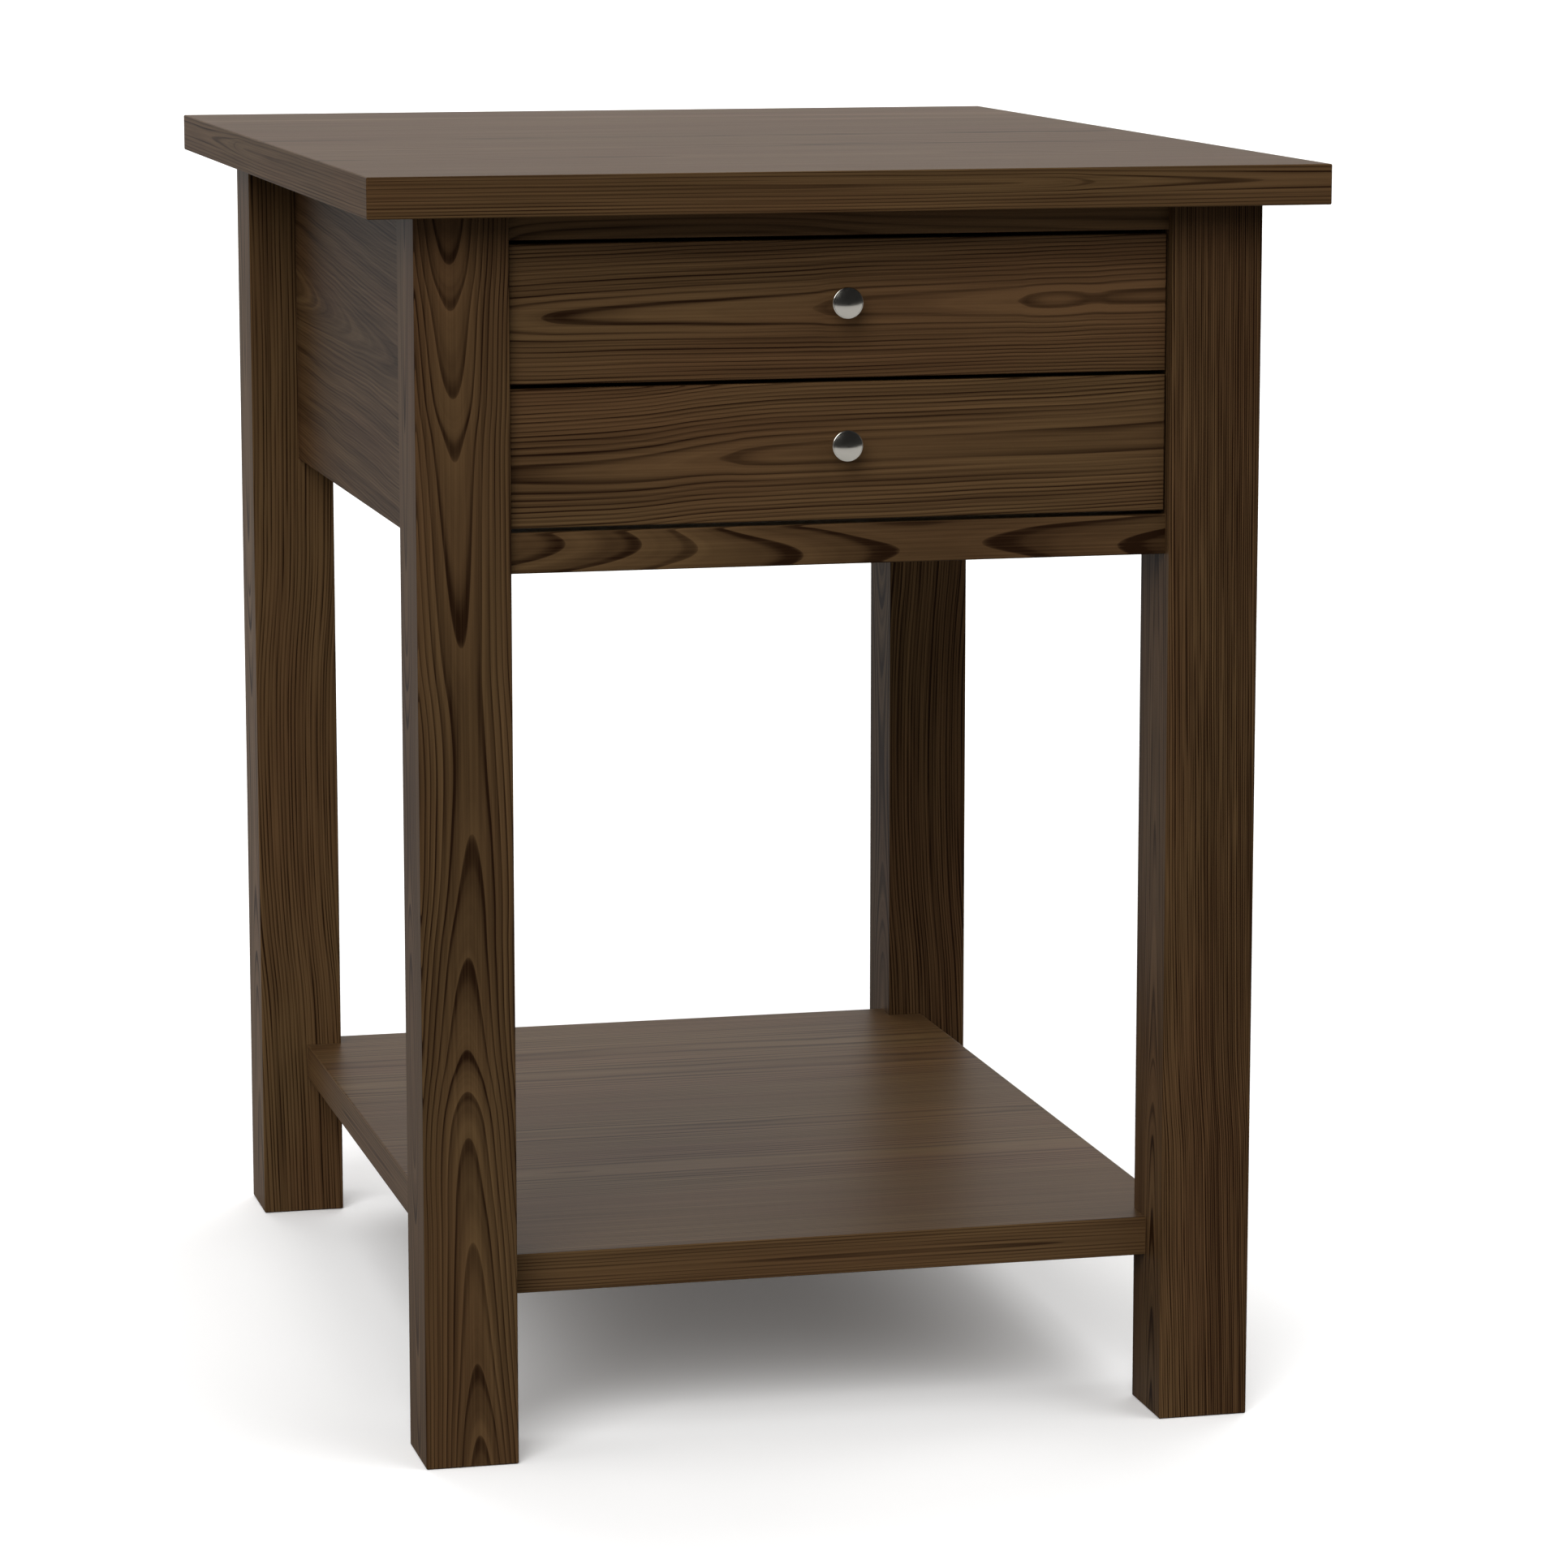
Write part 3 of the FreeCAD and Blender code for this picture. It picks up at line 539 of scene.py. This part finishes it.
# %% Wood of the boxes and strips
POPLAR = ("#d6c9ab", "#cdbd9a", "#a18d66")
levels = ("upper", "lower")
box_parts = {"box_front": "X", "box_back": "X", "box_side_left": "Y", "box_side_right": "Y"}
pale_boards = [(f"{level}_{part}", along) for level in levels for part, along in box_parts.items()]
pale_boards += [("top_strip_left", "Y"), ("top_strip_right", "Y")]
# The heart lies 30 to 38 mm outside the board, a little different in each, and comes nearer along it. It
# starts below the middle of the board and ends above it.
heart_outside, heart_step, heart_nearer = 30, 4, 6
heart_below_middle, heart_above_middle = 8, 14
for seed, (name, along) in enumerate(pale_boards, start=20):
    low, high = corners(name)
    depth = "Y" if along == "X" else "X"
    start, end = low[AXES[along]], high[AXES[along]]
    middle = (low.z + high.z) / 2
    heart = low[AXES[depth]] - heart_outside - heart_step * (seed % 3)
    dress(sawn_wood(
        "poplar_" + name, POPLAR, along, "Z", depth,
        [(start, middle - heart_below_middle), (end, middle + heart_above_middle)],
        [(start, heart), (end, heart + heart_nearer)], ring=2.4, sway=(3.0, 1.5), end_grain=0.8, contrast=0.8,
        seed=seed,
    ), name)

# %% [markdown]
# ## Drawer bottoms in birch plywood
# The face of plywood is peeled off the log like paper off a roll, so it meets the rings at a low angle and
# shows wide, wandering figures. A heart far below the sheet and a strong sway give that.

# %% Plywood of the bottoms
BIRCH = ("#dccdb2", "#d5c3a2", "#b5a07a")
# The heart's place across the sheet and its depth below it, at the left and at the right end.
peel_left, peel_right = (10, 600), (-20, 590)
for seed, name in enumerate(("upper_drawer_bottom", "lower_drawer_bottom"), start=32):
    low, high = corners(name)
    dress(sawn_wood(
        "birch_plywood_" + name, BIRCH, "X", "Y", "Z", [(low.x, peel_left[0]), (high.x, peel_right[0])],
        [(low.x, low.z - peel_left[1]), (high.x, low.z - peel_right[1])], ring=1.2, sway=(3.5, 3.5),
        contrast=0.7, seed=seed,
    ), name)

# %% [markdown]
# ## Dowels in beech
# Short turned pegs with fine rings. They sit in their holes and show only if the table comes apart.

# %% Wood of the dowels
BEECH = ("#c9a377", "#c0966b", "#a67b51")
# The heart lies far in front of the pegs and below them, so the rings cross each one nearly straight.
peg_heart_y, peg_heart_z = -400, 300
for seed, name in enumerate(("apron_dowels", "rail_dowels"), start=36):
    low, high = corners(name)
    dress(sawn_wood(
        "beech_" + name, BEECH, "X", "Y", "Z", [(low.x, peg_heart_y), (high.x, peg_heart_y)],
        [(low.x, peg_heart_z), (high.x, peg_heart_z)], ring=2.0, sway=(1.0, 0.5), contrast=0.7, seed=seed,
    ), name)

# %% [markdown]
# ## Knobs in satin nickel
# The knobs are turned brass under satin nickel: a warm grey mirror, softened by marks of the lathe too fine
# to see one by one. The marks are rings round the knob's own axis, so they come from the distance to it. They
# fade out at the middle, where the tool is lifted off.

# %% Knobs
NICKEL_BRIGHT, NICKEL_DULL = "#dcd8cf", "#cbc6bb"
# Real lathe marks are finer than this. They are drawn 0.35 mm apart to show.
MARK_SPACING = 0.35
MARK_DEPTH = 0.02 * MM
MARKS_START, MARKS_FULL = 0.5, 2.0
POLISHED, SATIN = 0.14, 0.24


def satin_nickel(name, knob_middle):
    """Turned and plated metal, with lathe marks round an axis along Y through this point."""
    material, tree, shader, in_mm = new_material(name)
    centred = add(tree, "Mapping", {"Vector": in_mm, "Location": [-c for c in knob_middle]}).outputs[0]
    flat = add(tree, "VectorMath", {0: centred, 1: (1, 0, 1)}, operation="MULTIPLY").outputs[0]
    radius = add(tree, "VectorMath", {0: flat}, operation="LENGTH").outputs["Value"]
    spacing = {"W": radius, "Scale": 1 / MARK_SPACING, "Detail": 2}
    marks = add(tree, "TexNoise", spacing, noise_dimensions="1D").outputs[0]
    polish = add(tree, "MapRange", {0: marks, 3: POLISHED, 4: SATIN}).outputs[0]
    plating = {0: marks, 6: hex_colour(NICKEL_BRIGHT), 7: hex_colour(NICKEL_DULL)}
    tone = add(tree, "Mix", plating, data_type="RGBA").outputs[2]
    depth = add(tree, "MapRange", {0: radius, 1: MARKS_START, 2: MARKS_FULL}).outputs[0]
    height = add(tree, "Math", {0: marks, 1: depth}, operation="MULTIPLY").outputs[0]
    turning = add(tree, "Bump", {"Height": height, "Strength": 0.08, "Distance": MARK_DEPTH}).outputs[0]
    tree.links.new(tone, shader.inputs["Base Color"])
    tree.links.new(polish, shader.inputs["Roughness"])
    tree.links.new(turning, shader.inputs["Normal"])
    shader.inputs["Metallic"].default_value = 1.0
    return material


for level in levels:
    low, high = corners(level + "_knob")
    dress(satin_nickel(f"satin_nickel_{level}_knob", (low + high) / 2), level + "_knob")

# %% [markdown]
# ## Screws and slides
# Screws and pins are zinc plated, which leaves cloudy patches. The slides are steel with a baked cream
# coating that dries with a faint orange peel, and they run on moulded nylon rollers. All three are a coating
# or a skin with two close colours, and a roughness and a relief that follow one noise.

# %% Hardware
ROUGHNESS_SPREAD = 0.08
CLOUD_LOW, CLOUD_HIGH = 0.3, 0.7
PEBBLE_DEPTH = 0.05 * MM


def coated(name, colours, grain_mm, roughness, metallic, bump):
    """A cloudy or pebbled coating: two colours, a roughness and a relief that follow one fine noise."""
    material, tree, shader, in_mm = new_material(name)
    clouds = add(tree, "TexNoise", {"Vector": in_mm, "Scale": 1 / grain_mm, "Detail": 3}).outputs[0]
    first, second = (hex_colour(c) for c in colours)
    share = add(tree, "MapRange", {0: clouds, 1: CLOUD_LOW, 2: CLOUD_HIGH}).outputs[0]
    tone = add(tree, "Mix", {0: share, 6: first, 7: second}, data_type="RGBA").outputs[2]
    spread = {0: clouds, 3: roughness - ROUGHNESS_SPREAD, 4: roughness + ROUGHNESS_SPREAD}
    sheen = add(tree, "MapRange", spread).outputs[0]
    pebble = add(tree, "Bump", {"Height": clouds, "Strength": bump, "Distance": PEBBLE_DEPTH}).outputs[0]
    tree.links.new(tone, shader.inputs["Base Color"])
    tree.links.new(sheen, shader.inputs["Roughness"])
    tree.links.new(pebble, shader.inputs["Normal"])
    shader.inputs["Metallic"].default_value = metallic
    return material


zinc = coated("zinc_plated_steel", ("#b9bbbd", "#a9a79c"), 2.5, 0.32, 1.0, 0.1)
cream_coat = coated("baked_cream_coating_on_steel", ("#e7e3d6", "#e1dccd"), 1.6, 0.36, 0.0, 0.35)
nylon = coated("moulded_nylon", ("#efece2", "#e6e2d5"), 4.0, 0.45, 0.0, 0.1)
slide_halves = [(part, side) for part in ("rail", "runner") for side in ("left", "right")]
drawer_fasteners = ("knob_screw", "front_screws", "runner_screws", "rail_pins", "runner_pins")
for level in levels:
    dress(zinc, *(f"{level}_{part}" for part in drawer_fasteners))
    dress(cream_coat, *(f"{level}_slide_{part}_{side}" for part, side in slide_halves))
    dress(nylon, *(f"{level}_{part}_roller_{side}" for part, side in slide_halves))
dress(zinc, "top_screws", "strip_screws", "slide_rail_screws")

# %% [markdown]
# ## Paper
# The table stands on white paper. The paper is white to the camera and a pale grey in mirrors, but darker
# where it would light the table from below. It ends some steps in front of the table, so that the front of
# the studio is dark in the knobs.

# %% Paper floor
PAPER_IN_LIGHT, PAPER_IN_MIRRORS, PAPER_TO_CAMERA = 0.2, 0.42, 1.0
# A faint warm glow painted on the paper, for the camera only, lifts its shadows.
PAPER_PAINTED_GLOW = 0.06
studio = bpy.context.scene.collection.objects


def rays(tree):
    """Which rays ask for a colour: those of the camera, and those of mirrors and glass."""
    path = add(tree, "LightPath", {}).outputs
    both = {0: path["Is Glossy Ray"], 1: path["Is Transmission Ray"]}
    mirror = add(tree, "Math", both, operation="MAXIMUM").outputs[0]
    return path["Is Camera Ray"], mirror


def white_paper():
    """Matt paper, with a faint warm glow painted on for the camera that lifts the deepest shadow to a warm
    grey.
    """
    material = bpy.data.materials.new("matt_white_paper")
    material.use_nodes = True
    tree = material.node_tree
    camera_ray, mirror_ray = rays(tree)
    white = add(tree, "Mix", {0: mirror_ray, 2: PAPER_IN_LIGHT, 3: PAPER_IN_MIRRORS}).outputs[0]
    white = add(tree, "Mix", {0: camera_ray, 2: white, 3: PAPER_TO_CAMERA}).outputs[0]
    paper = add(tree, "BsdfDiffuse", {"Color": white}).outputs[0]
    # Painted glow: warm light that only the camera sees, added to lift the shadows on the paper.
    painted_shadow_lift = add(tree, "Math", {0: camera_ray, 1: PAPER_PAINTED_GLOW}, operation="MULTIPLY").outputs[0]
    painted_glow = add(tree, "Emission", {"Color": hex_colour("#fff4ec"), "Strength": painted_shadow_lift}).outputs[0]
    lit = add(tree, "AddShader", {0: paper, 1: painted_glow}).outputs[0]
    tree.links.new(lit, tree.nodes["Material Output"].inputs["Surface"])
    return material


def paper_floor(width=60.0, in_front=2.4, gap=0.2 * MM):
    """The floor: a wide sheet of paper just under the feet that ends some steps in front of the table."""
    shape = bmesh.new()
    middle = Matrix.Translation((0, width / 2 - in_front, -gap))
    bmesh.ops.create_grid(shape, x_segments=1, y_segments=1, size=width / 2, matrix=middle)
    mesh = bpy.data.meshes.new("paper_floor")
    shape.to_mesh(mesh)
    shape.free()
    mesh.materials.append(white_paper())
    floor = bpy.data.objects.new("paper_floor", mesh)
    studio.link(floor)
    return floor


print("floor:", paper_floor().dimensions.to_tuple(1), "m")

# %% [markdown]
# ## Light
# The white studio gives an even light from all round, about a third of the whole. A big softbox to the left
# of the camera gives the most of what is left, weaker ones stand at the left and at the right, and one hangs
# high behind the table. So the shadow under the shelf is a soft pool and the legs throw none. In mirrors the
# studio is white behind the table and dark on the side of the camera, with one bright patch at the left: a
# painted reflection of a softbox, where no lamp stands. That gives the top and the shelf their pale sheen and
# the knobs their dark caps, and leaves the front faces deep in colour.

# %% Studio
STUDIO_LIGHT = 0.46
# Where the white behind the table begins and where it is full, as the share of a direction that looks back.
BACKDROP_START, BACKDROP_FULL = -0.35, 0.25
DARK_SIDE, WHITE_SIDE = 0.02, 1.0
# A painted reflection of a softbox, seen only in mirrors and lighting nothing: degrees right of the camera
# side, degrees of height, reach and brightness.
PAINTED_REFLECTION = (-60, 42)
PAINTED_REFLECTION_EDGE, PAINTED_REFLECTION_FULL = 28, 20
PAINTED_REFLECTION_GLOW = 4.0


def towards(turn, height):
    """The direction to a place so many degrees to the right of the camera side, and so many high."""
    turn, height = math.radians(turn), math.radians(height)
    return Vector((math.sin(turn) * math.cos(height), -math.cos(turn) * math.cos(height), math.sin(height)))


world = bpy.data.worlds.new("studio")
world.use_nodes = True
bpy.context.scene.world = world
sky = world.node_tree
camera_ray, mirror_ray = rays(sky)
looking = add(sky, "TexCoord", {}).outputs["Generated"]
looking_back = add(sky, "SeparateXYZ", {0: looking}).outputs["Y"]
backdrop_range = {0: looking_back, 1: BACKDROP_START, 2: BACKDROP_FULL}
backdrop = add(sky, "MapRange", backdrop_range, interpolation_type="SMOOTHSTEP").outputs[0]
mirrored = add(sky, "MapRange", {0: backdrop, 3: DARK_SIDE, 4: WHITE_SIDE}).outputs[0]
# Painted reflection: a bright patch that only mirrors see, with no lamp behind it.
near_painted_reflection = {0: looking, 1: towards(*PAINTED_REFLECTION)}
nearness = add(sky, "VectorMath", near_painted_reflection, operation="DOT_PRODUCT").outputs["Value"]
reflection_edge, reflection_full = (math.cos(math.radians(angle)) for angle in (PAINTED_REFLECTION_EDGE, PAINTED_REFLECTION_FULL))
painted_glow = add(sky, "MapRange", {0: nearness, 1: reflection_edge, 2: reflection_full, 3: 0.0, 4: PAINTED_REFLECTION_GLOW}).outputs[0]
mirrored = add(sky, "Math", {0: mirrored, 1: painted_glow}, operation="ADD").outputs[0]
strength = add(sky, "Mix", {0: mirror_ray, 2: STUDIO_LIGHT, 3: mirrored}).outputs[0]
strength = add(sky, "Mix", {0: camera_ray, 2: strength, 3: WHITE_SIDE}).outputs[0]
background = sky.nodes["Background"]
background.inputs["Color"].default_value = (1, 1, 1, 1)
sky.links.new(strength, background.inputs["Strength"])
print("studio light:", STUDIO_LIGHT)

# %% Softboxes
# For each one: degrees to the right of the camera side, degrees of height, and its share of the light.
softboxes = {
    "key_softbox": (-28, 33, 0.63),
    "left_softbox": (-95, 28, 0.14),
    "right_softbox": (50, 44, 0.22),
    "back_softbox": (165, 62, 0.38),
}
softbox_width = math.radians(40)
for name, (turn, height, share) in softboxes.items():
    lamp = bpy.data.lights.new(name, "SUN")
    lamp.energy = share * math.pi
    lamp.angle = softbox_width
    stand = bpy.data.objects.new(name, lamp)
    stand.rotation_euler = towards(turn, height).to_track_quat("Z", "Y").to_euler()
    stand.visible_glossy = False
    studio.link(stand)
    print(name, "energy", round(lamp.energy, 2))

# %% [markdown]
# ## Camera
# The photograph was taken with a long lens from the front left, a little above the table top. These values
# come from matching the corners of the table.

# %% Camera
lens = bpy.data.cameras.new("camera")
lens.sensor_width = 36
lens.lens = 127.065
camera = bpy.data.objects.new("camera", lens)
camera.location = (-0.640107, -2.769691, 0.754913)
camera_yaw = math.radians(13.7774)
camera_pitch = math.radians(-9.5916)
camera.rotation_euler = (math.pi / 2 + camera_pitch, 0, -camera_yaw)
studio.link(camera)
bpy.context.scene.camera = camera
bpy.context.scene.view_settings.view_transform = "Standard"
print("camera:", round(lens.lens), "mm lens,", round(camera.location.length, 2), "m away")
